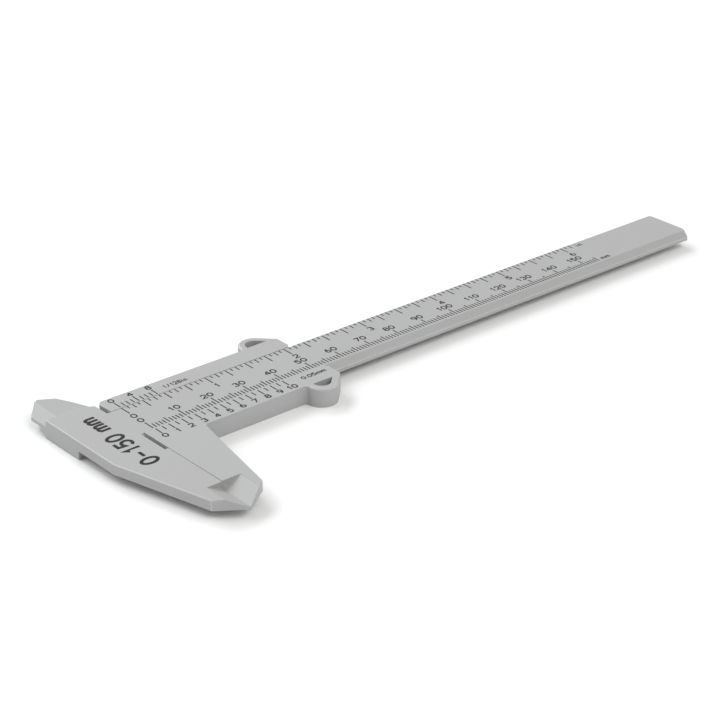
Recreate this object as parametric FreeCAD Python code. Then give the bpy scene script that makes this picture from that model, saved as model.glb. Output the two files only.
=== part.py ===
"""Plastic vernier caliper, 150 mm / 6 in: a beam with fixed jaws, a slider and their printed scales.

+X runs along the beam from the jaws to the free end, with zero at the zero marks. +Y points at the
inside jaws and y = 0 is the beam's centre line. z = 0 is the back of the slider, which the caliper
rests on. Everything is in millimetres.
"""
import math
import os

import FreeCAD, Part
from FreeCAD import Vector

# heights
BEAM_TOP = 5.20
PLATE = 2.80
BEAM_BACK = BEAM_TOP - PLATE
SLIDER_TOP = 5.35
INK = 0.03

# beam section: flat scale face, sloping flanks, upright strips
BEAM_END_X = 190.7
FACE_HALF = 6.90
FLANK_RUN = 1.60
FLANK_DROP = 1.75
BACK_HALF = FACE_HALF + FLANK_RUN
END_CORNER = 0.8

# fixed jaws
HEAD_BACK_X = -17.6
HEAD_FAR_Y = 13.7
HEAD_RIGHT_X = -4.1
JAW_FACE_X = -3.10
BACK_KNEE_Y = -15.0
TIP_SHOULDER_X = -10.3
TIP_SHOULDER_Y = -43.2
TIP_Y = -48.3
RELIEF_END_Y = -16.9
KNIFE_START_Y = -37.7
KNIFE_DEPTH = 2.0
FIXED_KNIFE_WIDTH = 4.6
SLIDING_KNIFE_WIDTH = 5.4
FOOT_NEAR_Y = -0.3
FOOT_WIDTH = 3.0
FOOT_TOE = 3.0
HEAD_CHAMFER = [(0.0, 1.6), (1.4, 0.8), (3.2, 0.0)]

# inside jaws
INNER_SPLIT_X = -14.3
INNER_HEEL_Y = 20.2
INNER_TIP_Y = 23.6
INNER_KNIFE_DROP = 1.75
BLADE_TOP = BEAM_TOP - 0.60
BLADE_SLOPE = 0.12
BLADE_ROOT_Y = HEAD_FAR_Y + 0.25
BLADE_RIGHT_X = -2.2
BLADE_EDGE = [(-12.6, 25.4), (-8.0, 23.9), (-5.3, 19.5), (-3.6, 15.9)]
BLADE_SHOULDER_Y = 24.0
ARM_NEAR_Y = 4.0
WEB = 2.0
WEB_RIGHT_X = -2.8

# slider
JAW_GAP = 0.04
FIT = 0.05
SLIDER_LEFT_X = JAW_FACE_X + JAW_GAP
SLIDER_RIGHT_X = 53.3
RAIL_OUTER = 13.0
RAIL_CORNER = 1.5
RAIL_MOUTH = 1.4
BACK_PLATE = BEAM_BACK - FIT
JAW_ROOT_X = 10.6
JAW_TIP_X = 4.3
JAW_TIP_Y = -43.4
JAW_FILLET = 1.2

# finger loops
LOOP_X = 46.6
LOOP_Y = 13.75
LOOP_OUTER = 4.25
LOOP_HOLE = 2.40
LOOP_LEAN = math.radians(44.5)
LOOP_HOLE_Y = 13.35
LOOP_FILLET = 1.0

# printed scales
LINE = 0.32
METRIC_END = 155
METRIC_BASE_Y = -6.45
METRIC_LENGTHS = {10: 3.55, 5: 2.70, 1: 1.95}
SIXTEENTH = 25.4 / 16
INCH_SIXTEENTHS = 98
INCH_BASE_Y = 6.75
INCH_LENGTHS = {4: 3.45, 2: 1.90, 1: 1.20}
NUMERAL = 1.75
METRIC_NUMERAL_Y = -1.25
INCH_NUMERAL_Y = 1.60
METRIC_VERNIER_PITCH = 1.95
METRIC_VERNIER_Y = -7.35
METRIC_VERNIER_LINES = 21
METRIC_VERNIER_LENGTHS = {2: 2.75, 1: 1.85}
METRIC_VERNIER_NUMERAL_Y = -11.45
INCH_VERNIER_PITCH = 7 * SIXTEENTH / 8
INCH_VERNIER_Y = 7.15
INCH_VERNIER_LINES = 9
INCH_VERNIER_LENGTHS = {4: 2.85, 1: 1.95}
INCH_VERNIER_NUMERAL_Y = 11.35
VERNIER_NUMERAL = 1.65
STROKE = 0.38
LETTER_WIDTH = 0.92
LETTER_GAP = 0.14

# printed words: centre x, centre y, letter height, letter width as a share of the height, stroke
METRIC_UNIT = (158.1, -5.6, 1.5, 0.92, 0.30)
INCH_UNIT = (158.5, 5.2, 1.5, 0.92, 0.30)
RANGE = (-10.0, -6.5, 4.4, 0.70, 0.90)
METRIC_RESOLUTION = (47.5, -9.4, 1.3, 0.92, 0.30)
INCH_RESOLUTION = (17.9, 9.2, 1.4, 0.70, 0.28)

# marks that the ejector pins leave in the backs
PIN_RADIUS = 2.0
PIN_GROOVE = 0.3
PIN_DEPTH = 0.12
BEAM_PINS = [(x, 0) for x in range(65, 190, 24)]
HEAD_PINS = [(-10.3, -6), (-10.3, -24), (-7.3, -38)]
SLIDER_PINS = [(4, 0), (27, 0), (48.5, 0), (15.5, 10.4), (15.5, -10.4)]

UP = Vector(0, 0, 1)


def polygon(points, z, height):
    """Upright prism over a closed outline of (x, y) points."""
    corners = [Vector(x, y, z) for x, y in points]
    return Part.Face(Part.makePolygon(corners + corners[:1])).extrude(UP * height)


def slab(x0, x1, y0, y1, z0, z1):
    """Box between two corners."""
    return Part.makeBox(x1 - x0, y1 - y0, z1 - z0, Vector(x0, y0, z0))


def prism_x(section, x0, x1):
    """Bar along X over a closed section of (y, z) points."""
    corners = [Vector(x0, y, z) for y, z in section]
    return Part.Face(Part.makePolygon(corners + corners[:1])).extrude(Vector(x1 - x0, 0, 0))


def prism_y(section, y0, y1):
    """Bar along Y over a closed section of (x, z) points."""
    corners = [Vector(x, y0, z) for x, z in section]
    return Part.Face(Part.makePolygon(corners + corners[:1])).extrude(Vector(0, y1 - y0, 0))


def upright_edges(shape, places, reach=0.4):
    """Vertical edges of a shape that stand at any of the given (x, y) places."""
    found = []
    for edge in shape.Edges:
        a = edge.Vertexes[0].Point
        b = edge.Vertexes[-1].Point
        if abs(a.x - b.x) > 1e-6 or abs(a.y - b.y) > 1e-6 or abs(a.z - b.z) < 0.1:
            continue
        if any(math.hypot(a.x - x, a.y - y) < reach for x, y in places):
            found.append(edge)
    return found


def beam_section(grow):
    """Right half and left half of the beam's section, grown all round by a clearance."""
    half_top = FACE_HALF + grow
    half_back = BACK_HALF + grow
    knee = BEAM_TOP - FLANK_DROP
    low = BEAM_BACK - grow
    return [(-half_top, BEAM_TOP), (-half_back, knee), (-half_back, low),
            (half_back, low), (half_back, knee), (half_top, BEAM_TOP)]


def pin_marks(places, z):
    """Shallow round grooves that ejector pins leave in a back face at height z."""
    rings = []
    for x, y in places:
        foot = Vector(x, y, z - 1)
        disc = Part.makeCylinder(PIN_RADIUS, 1 + PIN_DEPTH, foot)
        rings.append(disc.cut(Part.makeCylinder(PIN_RADIUS - PIN_GROOVE, 1 + PIN_DEPTH, foot)))
    return Part.makeCompound(rings)


def knife_cut(jaw_x, width):
    """Wedge that bevels an outside jaw's tip down to an edge along the jaw face."""
    ridge = jaw_x + width
    side = 0.5 if width < 0 else -0.5
    section = [(ridge, BEAM_TOP), (jaw_x, BEAM_TOP - KNIFE_DEPTH), (jaw_x + side, BEAM_TOP - KNIFE_DEPTH),
               (jaw_x + side, BEAM_TOP + 1), (ridge, BEAM_TOP + 1)]
    return prism_y(section, TIP_Y - 1, KNIFE_START_Y)


def fixed_jaws():
    """Head plate with the outside jaw, the inside jaw and the foot behind them."""
    corner = [(HEAD_RIGHT_X - back, HEAD_FAR_Y - down) for back, down in HEAD_CHAMFER]
    outline = [(HEAD_BACK_X, HEAD_FAR_Y), (HEAD_BACK_X, BACK_KNEE_Y), (TIP_SHOULDER_X, TIP_SHOULDER_Y),
               (JAW_FACE_X, TIP_Y), (JAW_FACE_X, RELIEF_END_Y), (HEAD_RIGHT_X, RELIEF_END_Y)]
    head = polygon(outline + corner, BEAM_BACK, PLATE)
    head = head.cut(knife_cut(JAW_FACE_X, -FIXED_KNIFE_WIDTH))
    inner = polygon([(HEAD_BACK_X, HEAD_FAR_Y), (HEAD_BACK_X, INNER_HEEL_Y),
                     (INNER_SPLIT_X, INNER_TIP_Y), (INNER_SPLIT_X, HEAD_FAR_Y)], BEAM_BACK, PLATE)
    bevel = prism_y([(INNER_SPLIT_X, BEAM_TOP), (HEAD_BACK_X, BEAM_TOP - INNER_KNIFE_DROP),
                     (HEAD_BACK_X - 1, BEAM_TOP - INNER_KNIFE_DROP), (HEAD_BACK_X - 1, BEAM_TOP + 1),
                     (INNER_SPLIT_X, BEAM_TOP + 1)], HEAD_FAR_Y, INNER_TIP_Y + 1)
    foot = slab(HEAD_BACK_X, HEAD_BACK_X + FOOT_WIDTH, FOOT_NEAR_Y, HEAD_FAR_Y, 0, BEAM_BACK)
    toe = prism_x([(HEAD_FAR_Y, 0), (HEAD_FAR_Y, BEAM_BACK), (HEAD_FAR_Y + FOOT_TOE, BEAM_BACK)],
                  HEAD_BACK_X, HEAD_BACK_X + FOOT_WIDTH)
    return head.multiFuse([inner.cut(bevel), foot, toe])


def main_beam():
    """Beam and fixed jaws, one moulding."""
    bar = prism_x(beam_section(0), HEAD_RIGHT_X - 2, BEAM_END_X)
    ends = [edge for edge in bar.Edges if abs(edge.BoundBox.XMin - BEAM_END_X) < 1e-6
            and edge.BoundBox.ZLength > 0.5]
    bar = bar.makeFillet(END_CORNER, ends)
    body = bar.fuse(fixed_jaws()).removeSplitter()
    return body.cut(pin_marks(HEAD_PINS + BEAM_PINS, BEAM_BACK))


def loop_outline(sign, radius, root_y, right_x):
    """Finger loop outline: a round belly and a straight slanting side that runs out to right_x."""
    side = Vector(math.sin(LOOP_LEAN), sign * math.cos(LOOP_LEAN), 0)
    along = Vector(math.cos(LOOP_LEAN), -sign * math.sin(LOOP_LEAN), 0)
    centre = Vector(LOOP_X, sign * LOOP_Y, 0)
    left = centre + Vector(-radius, 0, 0)
    belly = centre + Vector(-radius * math.sin(LOOP_LEAN / 2), sign * radius * math.cos(LOOP_LEAN / 2), 0)
    tangent = centre + side * radius
    run = (right_x - tangent.x) / along.x
    far = tangent + along * run
    low_left = Vector(left.x, sign * root_y, 0)
    low_right = Vector(far.x, sign * root_y, 0)
    edges = [Part.makeLine(low_left, left), Part.Arc(left, belly, tangent).toShape()]
    if sign * (far.y - low_right.y) < 0:
        run = (sign * root_y - tangent.y) / along.y
        low_right = tangent + along * run
        edges.append(Part.makeLine(tangent, low_right))
    else:
        edges.append(Part.makeLine(tangent, far))
        edges.append(Part.makeLine(far, low_right))
    edges.append(Part.makeLine(low_right, low_left))
    return Part.Face(Part.Wire(edges))


def finger_loop(sign):
    """Solid finger loop beside one rail, before its hole is cut."""
    face = loop_outline(sign, LOOP_OUTER, RAIL_OUTER - 1, SLIDER_RIGHT_X)
    return face.extrude(UP * SLIDER_TOP)


def loop_hole(sign):
    """Through hole of one finger loop."""
    face = loop_outline(sign, LOOP_HOLE, LOOP_HOLE_Y, SLIDER_RIGHT_X)
    hole = face.extrude(UP * (SLIDER_TOP + 2))
    hole.translate(UP * -1)
    return hole


def sliding_jaws():
    """Outside jaw of the slider, with its bevelled tip."""
    outline = [(SLIDER_LEFT_X, -FACE_HALF), (SLIDER_LEFT_X, TIP_Y), (JAW_TIP_X, JAW_TIP_Y),
               (JAW_ROOT_X, -RAIL_OUTER), (JAW_ROOT_X, -FACE_HALF)]
    jaw = polygon(outline, BEAM_BACK, SLIDER_TOP - BEAM_BACK)
    return jaw.cut(knife_cut(SLIDER_LEFT_X, SLIDING_KNIFE_WIDTH))


def sliding_inner_jaw():
    """Inside jaw of the slider: an arm behind the head that carries a thin sloping blade."""
    split = INNER_SPLIT_X + 0.2
    web_y = BLADE_ROOT_Y + WEB
    outline = [(split, BLADE_ROOT_Y), (split, BLADE_SHOULDER_Y), *BLADE_EDGE, (BLADE_RIGHT_X, BLADE_ROOT_Y)]
    blade = polygon(outline, BEAM_BACK, BLADE_TOP - BEAM_BACK)
    run = BLADE_RIGHT_X - split + 1
    slope = prism_y([(split, BLADE_TOP), (split + run, BLADE_TOP - BLADE_SLOPE * run),
                     (split + run, BLADE_TOP + 1), (split, BLADE_TOP + 1)], BLADE_ROOT_Y - 1, INNER_TIP_Y + 3)
    arm = polygon([(split, ARM_NEAR_Y), (split, web_y), (WEB_RIGHT_X, web_y), (BLADE_RIGHT_X, BLADE_ROOT_Y),
                   (BLADE_RIGHT_X, ARM_NEAR_Y)], 0, BACK_PLATE)
    web = polygon([(split, BLADE_ROOT_Y), (split, web_y), (WEB_RIGHT_X, web_y),
                   (BLADE_RIGHT_X, BLADE_ROOT_Y)], 0, BEAM_BACK)
    return blade.cut(slope).multiFuse([arm, web])


def mouth_corner(sign):
    """What is cut away to round the right end of one rail where it meets the beam."""
    y = sign * (FACE_HALF + FIT)
    centre = Vector(SLIDER_RIGHT_X - RAIL_MOUTH, y + sign * RAIL_MOUTH, 0)
    square = slab(centre.x, SLIDER_RIGHT_X + 1, min(y, centre.y), max(y, centre.y),
                  BEAM_TOP - FLANK_DROP, SLIDER_TOP + 1)
    return square.cut(Part.makeCylinder(RAIL_MOUTH, SLIDER_TOP + 1, centre))


def slider():
    """Rails, back plate, sliding jaws and finger loops, one moulding."""
    block = slab(SLIDER_LEFT_X, SLIDER_RIGHT_X, -RAIL_OUTER, RAIL_OUTER, 0, SLIDER_TOP)
    corner = upright_edges(block, [(SLIDER_LEFT_X, RAIL_OUTER)])
    block = block.makeFillet(RAIL_CORNER, corner)
    body = block.multiFuse([sliding_jaws(), finger_loop(1), finger_loop(-1)]).removeSplitter()
    places = [(LOOP_X - LOOP_OUTER, RAIL_OUTER), (LOOP_X - LOOP_OUTER, -RAIL_OUTER)]
    body = body.makeFillet(LOOP_FILLET, upright_edges(body, places))
    body = body.makeFillet(JAW_FILLET, upright_edges(body, [(JAW_ROOT_X, -RAIL_OUTER)], 0.05))
    section = beam_section(FIT)
    mouth = [(-FACE_HALF - FIT, SLIDER_TOP + 1), (FACE_HALF + FIT, SLIDER_TOP + 1)]
    channel = prism_x(mouth + section[::-1], SLIDER_LEFT_X - 1, SLIDER_RIGHT_X + 1)
    body = body.cut(channel)
    body = body.multiFuse([sliding_inner_jaw()]).removeSplitter()
    body = body.cut(Part.makeCompound([loop_hole(1), loop_hole(-1), mouth_corner(1), mouth_corner(-1)]))
    return body.cut(pin_marks(SLIDER_PINS, 0))


def tick(x, y0, y1, z):
    """One printed graduation line."""
    low = min(y0, y1)
    return slab(x - LINE / 2, x + LINE / 2, low, low + abs(y1 - y0), z, z + INK)


def tick_length(count, lengths):
    """Length of graduation number count: the longest class that divides it."""
    return next(length for step, length in sorted(lengths.items(), reverse=True) if count % step == 0)


def metric_graduations():
    """Main millimetre lines, 0 to 155 mm."""
    return [tick(i, METRIC_BASE_Y, METRIC_BASE_Y + tick_length(i, METRIC_LENGTHS), BEAM_TOP)
            for i in range(METRIC_END + 1)]


def inch_graduations():
    """Main sixteenth-inch lines."""
    return [tick(i * SIXTEENTH, INCH_BASE_Y, INCH_BASE_Y - tick_length(i, INCH_LENGTHS), BEAM_TOP)
            for i in range(INCH_SIXTEENTHS + 1)]


def metric_vernier_graduations():
    """Twenty divisions over 39 mm, every second line long."""
    return [tick(i * METRIC_VERNIER_PITCH, METRIC_VERNIER_Y,
                 METRIC_VERNIER_Y - tick_length(i, METRIC_VERNIER_LENGTHS), SLIDER_TOP)
            for i in range(METRIC_VERNIER_LINES)]


def inch_vernier_graduations():
    """Eight divisions over seven sixteenths of an inch, every fourth line long."""
    return [tick(i * INCH_VERNIER_PITCH, INCH_VERNIER_Y,
                 INCH_VERNIER_Y + tick_length(i, INCH_VERNIER_LENGTHS), SLIDER_TOP)
            for i in range(INCH_VERNIER_LINES)]


def arc_points(cx, cy, rx, ry, start, end, count=13):
    """Points of an elliptic arc, angles in degrees."""
    angles = [math.radians(start + (end - start) * i / (count - 1)) for i in range(count)]
    return [(cx + rx * math.cos(a), cy + ry * math.sin(a)) for a in angles]


def glyph_strokes():
    """Centre lines of the characters in a cell one wide and one high."""
    ring = arc_points(0.5, 0.5, 0.42, 0.5, 0, 345, 24)
    return {
        "0": [(ring, True)],
        "1": [([(0.25, 0.72), (0.58, 1.0), (0.58, 0.0)], False)],
        "2": [(arc_points(0.5, 0.70, 0.40, 0.30, 165, -40, 13) + [(0.08, 0.0), (0.92, 0.0)], False)],
        "3": [(arc_points(0.46, 0.76, 0.36, 0.24, 155, -85, 13), False),
              (arc_points(0.46, 0.27, 0.42, 0.27, 85, -155, 13), False)],
        "4": [([(0.72, 0.0), (0.72, 1.0)], False),
              ([(0.66, 0.98), (0.08, 0.30)], False),
              ([(0.04, 0.28), (0.98, 0.28)], False)],
        "5": [([(0.88, 1.0), (0.20, 1.0), (0.14, 0.55)]
               + arc_points(0.46, 0.32, 0.42, 0.32, 110, -150, 13), False)],
        "6": [(arc_points(0.5, 0.30, 0.40, 0.30, 0, 342, 20), True),
              (arc_points(0.62, 0.40, 0.52, 0.60, 195, 95, 8), False)],
        "7": [([(0.08, 1.0), (0.92, 1.0), (0.36, 0.0)], False)],
        "8": [(arc_points(0.5, 0.26, 0.42, 0.26, 0, 342, 20), True),
              (arc_points(0.5, 0.76, 0.34, 0.24, 0, 342, 20), True)],
        "9": [(arc_points(0.5, 0.70, 0.40, 0.30, 0, 342, 20), True),
              (arc_points(0.38, 0.60, 0.52, 0.60, 15, -85, 8), False)],
        "m": [([(0.08, 0.0), (0.08, 0.68)], False),
              (arc_points(0.29, 0.46, 0.21, 0.22, 180, 0, 9) + [(0.50, 0.0)], False),
              (arc_points(0.71, 0.46, 0.21, 0.22, 180, 0, 9) + [(0.92, 0.0)], False)],
        "n": [([(0.20, 0.0), (0.20, 0.68)], False),
              (arc_points(0.50, 0.40, 0.30, 0.28, 180, 0, 9) + [(0.80, 0.0)], False)],
        "i": [([(0.5, 0.0), (0.5, 0.66)], False), ([(0.5, 0.88), (0.5, 1.02)], False)],
        ".": [([(0.5, 0.0), (0.5, 0.14)], False)],
        "/": [([(0.15, -0.05), (0.85, 1.05)], False)],
        "-": [([(0.12, 0.42), (0.88, 0.42)], False)],
    }


NARROW = {"i": 0.45, ".": 0.35, "1": 0.80, " ": 0.60, "m": 1.15}


def offset_side(points, closed, distance):
    """A line moved sideways by a distance, with mitred corners."""
    count = len(points)
    moved = []
    for i, (x, y) in enumerate(points):
        before = points[(i - 1) % count] if closed or i else None
        after = points[(i + 1) % count] if closed or i < count - 1 else None
        normals = []
        for a, b in ((before, (x, y)), ((x, y), after)):
            if a is None or b is None:
                continue
            length = math.hypot(b[0] - a[0], b[1] - a[1])
            normals.append(((a[1] - b[1]) / length, (b[0] - a[0]) / length))
        nx = sum(n[0] for n in normals)
        ny = sum(n[1] for n in normals)
        scale = len(normals) / max(nx * nx + ny * ny, 0.6)
        moved.append((x + distance * nx * scale, y + distance * ny * scale))
    return moved


def stroke_solids(points, closed, width, z):
    """Inked line of one width along a centre line."""
    left = offset_side(points, closed, width / 2)
    right = offset_side(points, closed, -width / 2)
    if not closed:
        return polygon(left + right[::-1], z, INK)
    outer = polygon(right, z, INK)
    hole = polygon(left, z, INK)
    return outer.cut(hole) if outer.Volume > hole.Volume else hole.cut(outer)


def word(text, place, z, turned=False):
    """Line of characters centred on a place, given as for METRIC_UNIT; turned text reads along +Y."""
    centre_x, centre_y, height, width, stroke = place
    gap = LETTER_GAP * height
    cells = [NARROW.get(c, 1.0) * height * width for c in text]
    total = sum(cells) + gap * (len(text) - 1)
    shapes = []
    x = -total / 2
    strokes = glyph_strokes()
    for character, cell in zip(text, cells):
        parts = []
        for points, closed in strokes.get(character, []):
            line = [(x + px * cell, (py - 0.5) * height) for px, py in points]
            if turned:
                line = [(-py, px) for px, py in line]
            line = [(centre_x + px, centre_y + py) for px, py in line]
            parts.append(stroke_solids(line, closed, stroke, z))
        if parts:
            whole = parts[0].multiFuse(parts[1:]) if len(parts) > 1 else parts[0]
            shapes.extend(whole.Solids)
        x += cell + gap
    return shapes


def numerals(labels, y, z, height):
    """Row of numerals, each centred on its own graduation."""
    shapes = []
    for x, text in labels:
        shapes.extend(word(text, (x, y, height, LETTER_WIDTH, STROKE), z))
    return shapes


def prints():
    """Every printed layer, by node name."""
    metric = [(i, str(i)) for i in range(0, 151, 10)]
    inch = [(25.4 * i, str(i)) for i in range(7)]
    metric_vernier = [(2 * i * METRIC_VERNIER_PITCH, str(i)) for i in range(11)]
    inch_vernier = [(i * INCH_VERNIER_PITCH, str(i)) for i in (0, 4, 8)]
    return {
        "metric_graduations": metric_graduations(),
        "metric_numerals": numerals(metric, METRIC_NUMERAL_Y, BEAM_TOP, NUMERAL),
        "inch_graduations": inch_graduations(),
        "inch_numerals": numerals(inch, INCH_NUMERAL_Y, BEAM_TOP, NUMERAL),
        "metric_unit_mark": word("mm", METRIC_UNIT, BEAM_TOP),
        "inch_unit_mark": word("in", INCH_UNIT, BEAM_TOP),
        "range_print": word("0-150 mm", RANGE, BEAM_TOP, turned=True),
        "metric_vernier_graduations": metric_vernier_graduations(),
        "metric_vernier_numerals": numerals(metric_vernier, METRIC_VERNIER_NUMERAL_Y, SLIDER_TOP,
                                            VERNIER_NUMERAL),
        "metric_vernier_resolution": word("0.05mm", METRIC_RESOLUTION, SLIDER_TOP),
        "inch_vernier_graduations": inch_vernier_graduations(),
        "inch_vernier_numerals": numerals(inch_vernier, INCH_VERNIER_NUMERAL_Y, SLIDER_TOP,
                                          VERNIER_NUMERAL),
        "inch_vernier_resolution": word("1/128in", INCH_RESOLUTION, SLIDER_TOP),
    }


def save(name, shape):
    """Write one sub-part, and print its size so that it can be checked."""
    if isinstance(shape, list):
        shape = Part.makeCompound(shape)
    shape.exportStep(os.path.join("parts", name + ".step"))
    box = shape.BoundBox
    print("%-28s solids %3d valid %s volume %9.2f  x %.2f..%.2f y %.2f..%.2f z %.2f..%.2f" % (
        name, len(shape.Solids), shape.isValid(), shape.Volume,
        box.XMin, box.XMax, box.YMin, box.YMax, box.ZMin, box.ZMax))


os.makedirs("parts", exist_ok=True)
save("main_beam", main_beam())
save("slider", slider())
for node, solids in prints().items():
    save(node, solids)
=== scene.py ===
# %% [markdown]
# # A moulded plastic vernier caliper
# The caliper is two injection mouldings in light grey ABS with dark pad-printed scales. The packed
# model already has every piece at its real size and place, so this lesson gives it what a mould and
# a printing pad give the real one: rounded edges, a fine grain, rub marks and clean lettering.

import math

import bmesh
import bpy
import numpy as np
from mathutils import Matrix, Vector


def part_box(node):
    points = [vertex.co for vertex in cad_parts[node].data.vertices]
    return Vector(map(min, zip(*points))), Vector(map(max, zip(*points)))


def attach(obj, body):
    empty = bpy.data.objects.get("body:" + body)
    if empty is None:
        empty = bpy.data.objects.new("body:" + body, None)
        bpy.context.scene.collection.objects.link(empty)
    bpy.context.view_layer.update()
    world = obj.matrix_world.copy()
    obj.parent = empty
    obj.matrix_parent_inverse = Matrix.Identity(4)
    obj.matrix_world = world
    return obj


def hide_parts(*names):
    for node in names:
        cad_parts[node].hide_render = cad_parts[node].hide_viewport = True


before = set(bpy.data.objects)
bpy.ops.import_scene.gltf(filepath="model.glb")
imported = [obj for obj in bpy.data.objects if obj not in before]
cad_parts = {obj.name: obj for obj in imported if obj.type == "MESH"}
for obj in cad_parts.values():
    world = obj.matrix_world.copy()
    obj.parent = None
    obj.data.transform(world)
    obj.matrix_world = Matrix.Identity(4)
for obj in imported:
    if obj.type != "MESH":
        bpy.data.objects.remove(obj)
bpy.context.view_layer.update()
MM = 0.001

# %% [markdown]
# The main dimensions are read from the nodes, so that nothing has to be fitted by eye. The beam's
# printed face and the slider's face are two heights that differ by a fraction of a millimetre, and
# every scale starts at x = 0.

# %% Measure the frame
beam_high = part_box("main_beam")[1]
slider_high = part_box("slider")[1]
beam_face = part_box("range_print")[0].z
slider_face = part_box("metric_vernier_graduations")[0].z
print("beam face %.2f mm, slider face %.2f mm" % (beam_face / MM, slider_face / MM))
print("beam ends at %.1f mm, rails end at %.1f mm" % (beam_high.x / MM, slider_high.x / MM))

# %% [markdown]
# A product shot of a long thin tool is taken with a long lens, close to the jaws and low over the
# table, so that the beam runs away into the distance. The camera is placed by its direction and
# distance from one aim point on the beam's face, which is easier to reason about than raw angles.

# %% Camera
AIM = Vector((61.9 * MM, -10.7 * MM, beam_face))
LOOKS_TOWARDS = math.radians(40.78)
LOOKS_DOWN = math.radians(26.42)
ROLL = math.radians(0.26)
DISTANCE = 542.1 * MM
LENS = 105.8

look = Vector((math.sin(LOOKS_TOWARDS) * math.cos(LOOKS_DOWN),
               math.cos(LOOKS_TOWARDS) * math.cos(LOOKS_DOWN), -math.sin(LOOKS_DOWN)))
camera = bpy.data.objects.new("camera", bpy.data.cameras.new("camera"))
bpy.context.scene.collection.objects.link(camera)
camera.data.lens = LENS
camera.data.sensor_width = 36
camera.rotation_mode = "QUATERNION"
camera.location = AIM - look * DISTANCE
camera.rotation_quaternion = look.to_track_quat("-Z", "Y") @ Matrix.Rotation(ROLL, 3, "Z").to_quaternion()
bpy.context.scene.camera = camera
print("camera at", [round(c / MM, 1) for c in camera.location])

# %% [markdown]
# Shader maths reads best as ordinary expressions. `Socket` wraps an output of a node, and each
# operator adds the Math node that does it. `Nodes.add` makes every other kind of node: settings
# first, then what goes into its sockets.

# %% A socket that does arithmetic
class Socket:
    """One value that varies over a surface; arithmetic on it adds Math nodes."""

    def __init__(self, nodes, socket):
        self.nodes = nodes
        self.socket = socket

    def maths(self, operation, *values):
        """A Math node over any number of values."""
        return self.nodes.add("ShaderNodeMath", {"operation": operation}, dict(enumerate(values)))

    def __add__(self, other):
        return self.maths("ADD", self, other)

    def __radd__(self, other):
        return self.maths("ADD", other, self)

    def __sub__(self, other):
        return self.maths("SUBTRACT", self, other)

    def __rsub__(self, other):
        return self.maths("SUBTRACT", other, self)

    def __mul__(self, other):
        return self.maths("MULTIPLY", self, other)

    def __rmul__(self, other):
        return self.maths("MULTIPLY", other, self)

    def ramp(self, start, end):
        """0 below start, 1 above end, and a smooth rise between them."""
        settings = {"interpolation_type": "SMOOTHSTEP"}
        values = {"Value": self, "From Min": start, "From Max": end}
        return self.nodes.add("ShaderNodeMapRange", settings, values)


# %% A material's nodes
class Nodes:
    """The nodes of one material, with its shader and its output already joined."""

    def __init__(self, name):
        self.material = bpy.data.materials.new(name)
        self.material.use_nodes = True
        self.tree = self.material.node_tree
        self.shader = self.tree.nodes["Principled BSDF"]
        self.place = self.add("ShaderNodeTexCoord", {}, {}, "Object")

    def add(self, kind, settings, values, output=0):
        """A node of one kind: its settings, then numbers or links for its sockets."""
        node = self.tree.nodes.new(kind)
        for name, value in settings.items():
            setattr(node, name, value)
        self.feed(node, values)
        return Socket(self, node.outputs[output])

    def feed(self, node, values):
        """Gives sockets, by name or number, a constant or the output of another node."""
        for name, value in values.items():
            if isinstance(value, Socket):
                self.tree.links.new(value.socket, node.inputs[name])
            else:
                node.inputs[name].default_value = value

    def noise(self, size, detail=2.0, stretch=(1, 1, 1)):
        """Noise whose features are about `size` metres, drawn out along the axes by `stretch`."""
        scale = [1 / s for s in stretch]
        where = self.add("ShaderNodeMapping", {"vector_type": "POINT"},
                         {"Vector": self.place, "Scale": scale})
        return self.add("ShaderNodeTexNoise", {}, {"Vector": where, "Scale": 1 / size, "Detail": detail})

    def mix(self, share, first, second):
        """One colour where share is 0, another where it is 1."""
        node = self.tree.nodes.new("ShaderNodeMix")
        node.data_type = "RGBA"
        for socket, value in ((node.inputs[0], share), (node.inputs[6], first), (node.inputs[7], second)):
            if isinstance(value, Socket):
                self.tree.links.new(value.socket, socket)
            else:
                socket.default_value = value
        return Socket(self, node.outputs[2])

    def axis(self, name):
        """The distance along X, Y or Z, in metres."""
        return self.add("ShaderNodeSeparateXYZ", {}, {"Vector": self.place}, "XYZ".index(name))

    def bump(self, height, distance, strength):
        """A normal that leans as if the surface rose by height times distance."""
        values = {"Height": height, "Distance": distance, "Strength": strength}
        return self.add("ShaderNodeBump", {}, values)


def grey(value, warmth=0.0, green=0.0):
    """A grey as RGBA, with a little red taken for blue and a little green added."""
    return (value * (1 + warmth), value * (1 + green), value * (1 - warmth), 1.0)


# %% [markdown]
# Light grey ABS has three scales of texture. Across a few centimetres the pigment is a touch uneven.
# Across a tenth of a millimetre the spark-eroded mould leaves a matte grain. Where the slider runs,
# fine lines along the beam polish the grain away. Colour and roughness share the rub mask, so a
# polished line is a little glossier, and its colour is painted a little paler as a painted sheen.

# %% Moulded plastic
PLASTIC = 0.395
CLOUD_SIZE = 26 * MM
FLOW_SIZE = 7 * MM
GRAIN_SIZE = 0.16 * MM
GRAIN_DEPTH = 0.006 * MM
RUB_LINE_SIZE = 0.35 * MM
RUB_FADE = 0.3 * MM
JAWS_FADE = 3 * MM
ROUGH = 0.52


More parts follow.
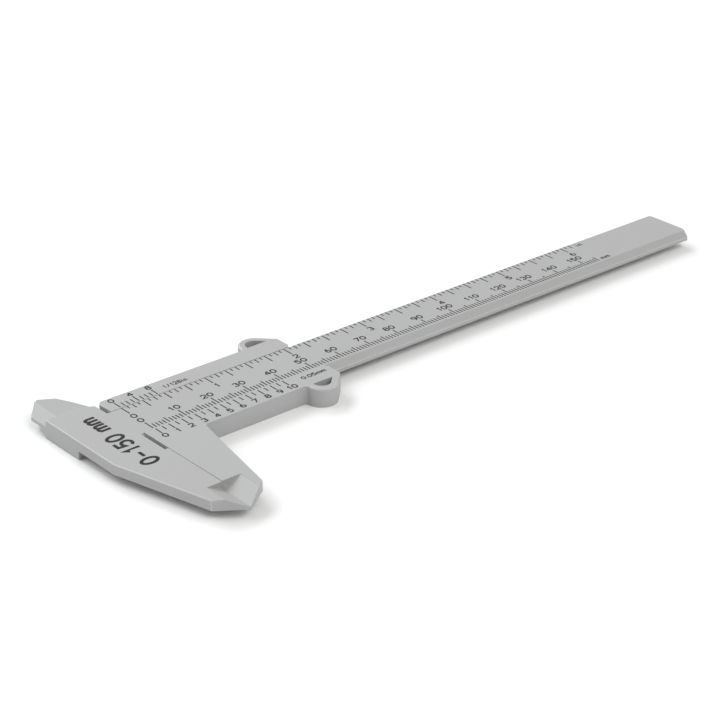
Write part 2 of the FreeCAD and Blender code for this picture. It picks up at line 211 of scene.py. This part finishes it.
def moulded_plastic(name, value, rub_sheen_from, rub_sheen_to, gloss=0.0):
    """Matte moulded ABS, polished in fine lines along X where |y| lies between the two given bounds; the
    lines are also painted paler, a painted sheen.
    """
    n = Nodes(name)
    clouds = n.noise(CLOUD_SIZE, 3.0)
    flow = n.noise(FLOW_SIZE, 3.0, (2.5, 1, 1))
    grain = n.noise(GRAIN_SIZE, 2.0)
    lines = n.noise(RUB_LINE_SIZE, 3.0, (80, 1, 1)).ramp(0.55, 0.72)
    y = n.axis("Y")
    away = y.maths("ABSOLUTE", y)
    right_of_jaws = n.axis("X").ramp(0.0, JAWS_FADE)
    band = away.ramp(rub_sheen_from - RUB_FADE, rub_sheen_from) * (1 - away.ramp(rub_sheen_to, rub_sheen_to + RUB_FADE))
    rub_and_sheen = band * right_of_jaws * lines
    shade = clouds * 0.65 + flow * 0.35
    dull = grey(value * 0.985, 0.004, 0.0)
    bright = grey(value * 1.015, -0.010, 0.003)
    colour = n.mix(shade.ramp(0.32, 0.68), dull, bright)
    # The polished lines are glossier, and their colour is mixed a little paler as a painted sheen.
    n.feed(n.shader, {
        "Base Color": n.mix(rub_and_sheen * 0.2, colour, grey(value * 1.15, -0.006, 0.003)),
        "Roughness": ROUGH - gloss + grain * 0.12 - rub_and_sheen * 0.14,
        "Normal": n.bump(grain, GRAIN_DEPTH, 0.5),
        "IOR": 1.50,
    })
    print(name, "has", len(n.tree.nodes), "nodes")
    return n.material


beam_plastic = moulded_plastic("beam_plastic", PLASTIC, 6.9 * MM, 8.6 * MM)
slider_plastic = moulded_plastic("slider_plastic", PLASTIC * 1.01, 12.8 * MM, 13.1 * MM)
# A paler, glossier copy of the plastic for the rounded edges, a painted highlight along every rim.
painted_highlight_plastic = moulded_plastic("painted_highlight_plastic", PLASTIC * 1.22, 6.7 * MM, 13.2 * MM, 0.16)

# %% [markdown]
# Pad-printing ink is a film a few hundredths of a millimetre thick. It is never quite black on a
# pale ground, it thins unevenly where the silicone pad lifts, and it is a little more matt than the
# plastic around it.

# %% Printing ink
PATCH_SIZE = 1.2 * MM
SPECK_SIZE = 0.07 * MM
INK_RELIEF = 0.004 * MM


def printing_ink(name, value):
    """Dark ink with paler starved specks and a faint unevenness."""
    n = Nodes(name)
    patches = n.noise(PATCH_SIZE, 3.0)
    specks = n.noise(SPECK_SIZE, 2.0).ramp(0.62, 0.74)
    colour = n.mix(patches.ramp(0.35, 0.7), grey(value * 0.8, -0.02), grey(value * 1.25, -0.02))
    n.feed(n.shader, {
        "Base Color": n.mix(specks * 0.35, colour, grey(value * 3.5, -0.02)),
        "Roughness": 0.55 + specks * 0.2,
        "Normal": n.bump(patches + specks, INK_RELIEF, 0.4),
        "Specular IOR Level": 0.35,
    })
    return n.material


scale_ink = printing_ink("scale_ink", 0.022)
print_ink = printing_ink("print_ink", 0.008)
print("inks made")

# %% [markdown]
# Sharp edges give a drawing away at once, because every moulded edge has a radius that catches a
# thin line of light. The two mouldings are copied from the frame, the loose triangles are merged
# into flat faces, and a Bevel modifier rounds only the edges that get a weight. The weight is the
# radius wanted there as a share of the largest radius, so knife edges stay crisp and the finger
# loops are soft. Where one curve runs straight on into the next, the radius has to change little by
# little, because two nearly parallel borders of different widths meet far away and fold the face.
# The rounded faces are given a paler, glossier copy of the plastic, a painted highlight along every rim.

# %% Merge a moulding's triangles into whole faces
LARGEST_RADIUS = 0.8 * MM


def merged_copy(node, name):
    """A copy of a CAD node with shared corners and one face per flat area."""
    piece = bpy.data.objects.new(name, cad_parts[node].data.copy())
    bpy.context.scene.collection.objects.link(piece)
    work = bmesh.new()
    work.from_mesh(piece.data)
    bmesh.ops.remove_doubles(work, verts=work.verts, dist=0.002 * MM)
    bmesh.ops.dissolve_limit(work, angle_limit=math.radians(0.6), verts=work.verts, edges=work.edges)
    work.to_mesh(piece.data)
    work.free()
    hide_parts(node)
    print(name, "faces", len(piece.data.polygons), "edges", len(piece.data.edges))
    return piece


# %% Edge angles as arrays


def edge_facts(mesh):
    """For every edge: its two ends, its middle and the angle between its faces in degrees."""
    points = np.zeros(len(mesh.vertices) * 3)
    mesh.vertices.foreach_get("co", points)
    points = points.reshape(-1, 3)
    ends = np.zeros(len(mesh.edges) * 2, int)
    mesh.edges.foreach_get("vertices", ends)
    ends = points[ends.reshape(-1, 2)]
    work = bmesh.new()
    work.from_mesh(mesh)
    angle = np.array([edge.calc_face_angle_signed(0.0) for edge in work.edges])
    work.free()
    return ends[:, 0], ends[:, 1], ends.mean(1), np.degrees(np.abs(angle))


def round_edges(piece, radius, crisp=20.0):
    """Rounds each edge by its own radius in metres; edges under `crisp` degrees stay smooth."""
    mesh = piece.data
    angle = edge_facts(mesh)[3]
    weight = np.where(angle > crisp, radius / LARGEST_RADIUS, 0.0)
    mesh.attributes.new("bevel_weight_edge", "FLOAT", "EDGE").data.foreach_set("value", weight)
    sharp = mesh.attributes.get("sharp_edge") or mesh.attributes.new("sharp_edge", "BOOLEAN", "EDGE")
    sharp.data.foreach_set("value", (angle > crisp) & (weight == 0))
    mesh.polygons.foreach_set("use_smooth", np.ones(len(mesh.polygons), bool))
    bevel = piece.modifiers.new("rounded edges", "BEVEL")
    bevel.limit_method = "WEIGHT"
    bevel.width = LARGEST_RADIUS
    bevel.segments = 3
    bevel.use_clamp_overlap = False
    bevel.loop_slide = False
    # The rounded faces take the second material, the paler copy that paints a highlight along each rim.
    bevel.material = 1
    flat = piece.modifiers.new("flat faces", "WEIGHTED_NORMAL")
    flat.mode = "FACE_AREA"
    flat.weight = 100
    flat.keep_sharp = True
    print(piece.name, "rounded edges", int((weight > 0).sum()), "of", len(weight))


def paint(piece, slot, *materials):
    """Gives a piece its materials, the second for its rounded edges; its slot is not used."""
    piece.data.materials.clear()
    for material in materials:
        piece.data.materials.append(material)


# %% Radii of the edges, and the places where they change
JAW_LINE_RADIUS = 0.03 * MM
FINE_RADIUS = 0.07 * MM
SCALE_RIM_RADIUS = 0.08 * MM
SLIDER_EDGE_RADIUS = 0.10 * MM
BEAM_EDGE_RADIUS = 0.16 * MM
HOLE_RIM_RADIUS = 0.16 * MM
RAIL_RIM_RADIUS = 0.22 * MM
BEAM_RIM_RADIUS = 0.26 * MM
LOOP_RIM_RADIUS = 0.55 * MM
SLACK = 0.01 * MM
KNIFE_START_Y = -37.6 * MM
HORN_START_Y = 13.75 * MM
SCALE_HALF = 7 * MM
RAIL_SIDE_Y = 13.0 * MM
CHANNEL_HALF = 8.9 * MM
LOOPS_START_X = 40 * MM
LOOP_RISE = 1.5 * MM
LOOP_CENTRE = (46.6 * MM, 13.75 * MM)
HOLE_REACH = 3.4 * MM
FREE_END_X = 51.7 * MM
PIN_MARK_FACET = 0.9 * MM
print("radii from", JAW_LINE_RADIUS / MM, "to", LOOP_RIM_RADIUS / MM, "mm")

# %% The beam moulding
beam = merged_copy("main_beam", "beam_moulding")
low, high, middle, angle = edge_facts(beam.data)
x, y, z = middle.T
on_face = z > beam_face - SLACK
meets_slider = (x > -4.2 * MM) & (x < -3.0 * MM) & (y < -6 * MM)
in_knife = (y < KNIFE_START_Y) & (x > -8 * MM)
in_horn = y > HORN_START_Y
pin_mark = (z < 2.7 * MM) & (z > 2.3 * MM) & (np.abs(low - high).max(1) < PIN_MARK_FACET)
radius = np.where(on_face, BEAM_RIM_RADIUS, BEAM_EDGE_RADIUS)
radius = np.where(on_face & (np.abs(y) < SCALE_HALF) & (x > 0), SCALE_RIM_RADIUS, radius)
radius = np.where(in_knife | in_horn | (z < 2.45 * MM), FINE_RADIUS, radius)
radius = np.where(meets_slider, JAW_LINE_RADIUS, radius)
radius = np.where(pin_mark, 0.0, radius)
round_edges(beam, radius)
paint(beam, "beam_plastic", beam_plastic, painted_highlight_plastic)
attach(beam, "beam")

# %% The slider moulding
slider = merged_copy("slider", "slider_moulding")
low, high, middle, angle = edge_facts(slider.data)
x, y, z = middle.T
on_rim = z > slider_face - SLACK
in_knife = (y < KNIFE_START_Y) & (x < 3 * MM)
loop_share = np.clip((np.abs(y) - RAIL_SIDE_Y) / LOOP_RISE, 0, 1) * (x > LOOPS_START_X)
free_end = on_rim & (x > FREE_END_X) & (np.abs(y) < 12.95 * MM)
from_hole = np.hypot(x - LOOP_CENTRE[0], np.abs(y) - LOOP_CENTRE[1])
loop_hole = (from_hole < HOLE_REACH) & (np.abs(y) > 13.3 * MM)
jaw_line = (x < -2.9 * MM) & (y < -13 * MM)
pin_mark = (z < 0.2 * MM) & (np.abs(low - high).max(1) < PIN_MARK_FACET) & (np.abs(y) < 12.9 * MM)
radius = np.where(on_rim, RAIL_RIM_RADIUS, SLIDER_EDGE_RADIUS)
radius = radius + on_rim * loop_share * (LOOP_RIM_RADIUS - RAIL_RIM_RADIUS)
radius = np.where(loop_hole, HOLE_RIM_RADIUS, radius)
radius = np.where(in_knife | (z < SLACK), FINE_RADIUS, radius)
radius = np.where(np.abs(y) < CHANNEL_HALF, np.where(on_rim & (x > 0), FINE_RADIUS, 0.0), radius)
radius = np.where(free_end, FINE_RADIUS, radius)
radius = np.where(jaw_line, JAW_LINE_RADIUS, radius)
radius = np.where(pin_mark, 0.0, radius)
round_edges(slider, radius)
paint(slider, "slider_plastic", slider_plastic, painted_highlight_plastic)
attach(slider, "slider")

# %% The prints
for name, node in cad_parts.items():
    if not node.hide_render:
        paint(node, "scale_ink", print_ink if name == "range_print" else scale_ink)

# %% [markdown]
# The table is a plain pale surface that is brighter than the plastic, as in a light tent.

# %% Floor
FLOOR_HALF = 4.0
FLOOR_LINES = 9
n = Nodes("pale_table")
n.feed(n.shader, {"Base Color": n.mix(n.noise(60 * MM, 2.0), grey(0.90), grey(0.93)), "Roughness": 0.9,
                  "Specular IOR Level": 0.1})
side = np.linspace(-FLOOR_HALF, FLOOR_HALF, FLOOR_LINES)
gx, gy = np.meshgrid(side, side, indexing="ij")
corners = np.stack([gx.ravel(), gy.ravel(), np.zeros(gx.size)], 1)
index = np.arange(gx.size).reshape(gx.shape)
faces = np.stack([index[:-1, :-1], index[1:, :-1], index[1:, 1:], index[:-1, 1:]], -1).reshape(-1, 4)
table = bpy.data.meshes.new("table")
table.from_pydata(corners.tolist(), [], faces.tolist())
floor = bpy.data.objects.new("table", table)
floor.data.materials.append(n.material)
bpy.context.scene.collection.objects.link(floor)

# %% [markdown]
# Four broad lights stand around the tool, the two strongest behind it, so that the printed faces
# are the brightest part. The room gives the rest, so the sides are a soft darker grey and the
# shadow is a blur under the beam.

# %% Light
ROOM_LIGHT = 0.45
SOFTBOX_SIZE = 1.4
SOFTBOX_DISTANCE = 2.5


def softbox(name, bearing, height, power, colour):
    """A square light that faces the aim point from a bearing (degrees from +X to +Y) and a height."""
    lamp = bpy.data.objects.new(name, bpy.data.lights.new(name, "AREA"))
    lamp.data.size = SOFTBOX_SIZE
    lamp.data.energy = power
    lamp.data.color = colour
    a = math.radians(bearing)
    h = math.radians(height)
    away = Vector((math.cos(a) * math.cos(h), math.sin(a) * math.cos(h), math.sin(h)))
    lamp.location = AIM + away * SOFTBOX_DISTANCE
    lamp.rotation_mode = "QUATERNION"
    lamp.rotation_quaternion = away.to_track_quat("Z", "Y")
    bpy.context.scene.collection.objects.link(lamp)


softbox("window behind", 90, 35, 32.6, (0.975, 1.0, 1.025))
softbox("window behind the jaws", 135, 42, 17.8, (0.99, 1.0, 1.01))
softbox("card in front", -90, 52, 20.0, (1.0, 1.005, 0.975))
softbox("card at the right", -45, 40, 9.0, (1.0, 1.0, 0.985))
world = bpy.data.worlds.new("room")
bpy.context.scene.world = world
world.use_nodes = True
world.node_tree.nodes["Background"].inputs["Color"].default_value = (1.0, 0.995, 0.985, 1.0)
world.node_tree.nodes["Background"].inputs["Strength"].default_value = ROOM_LIGHT
bpy.context.scene.view_settings.view_transform = "Standard"
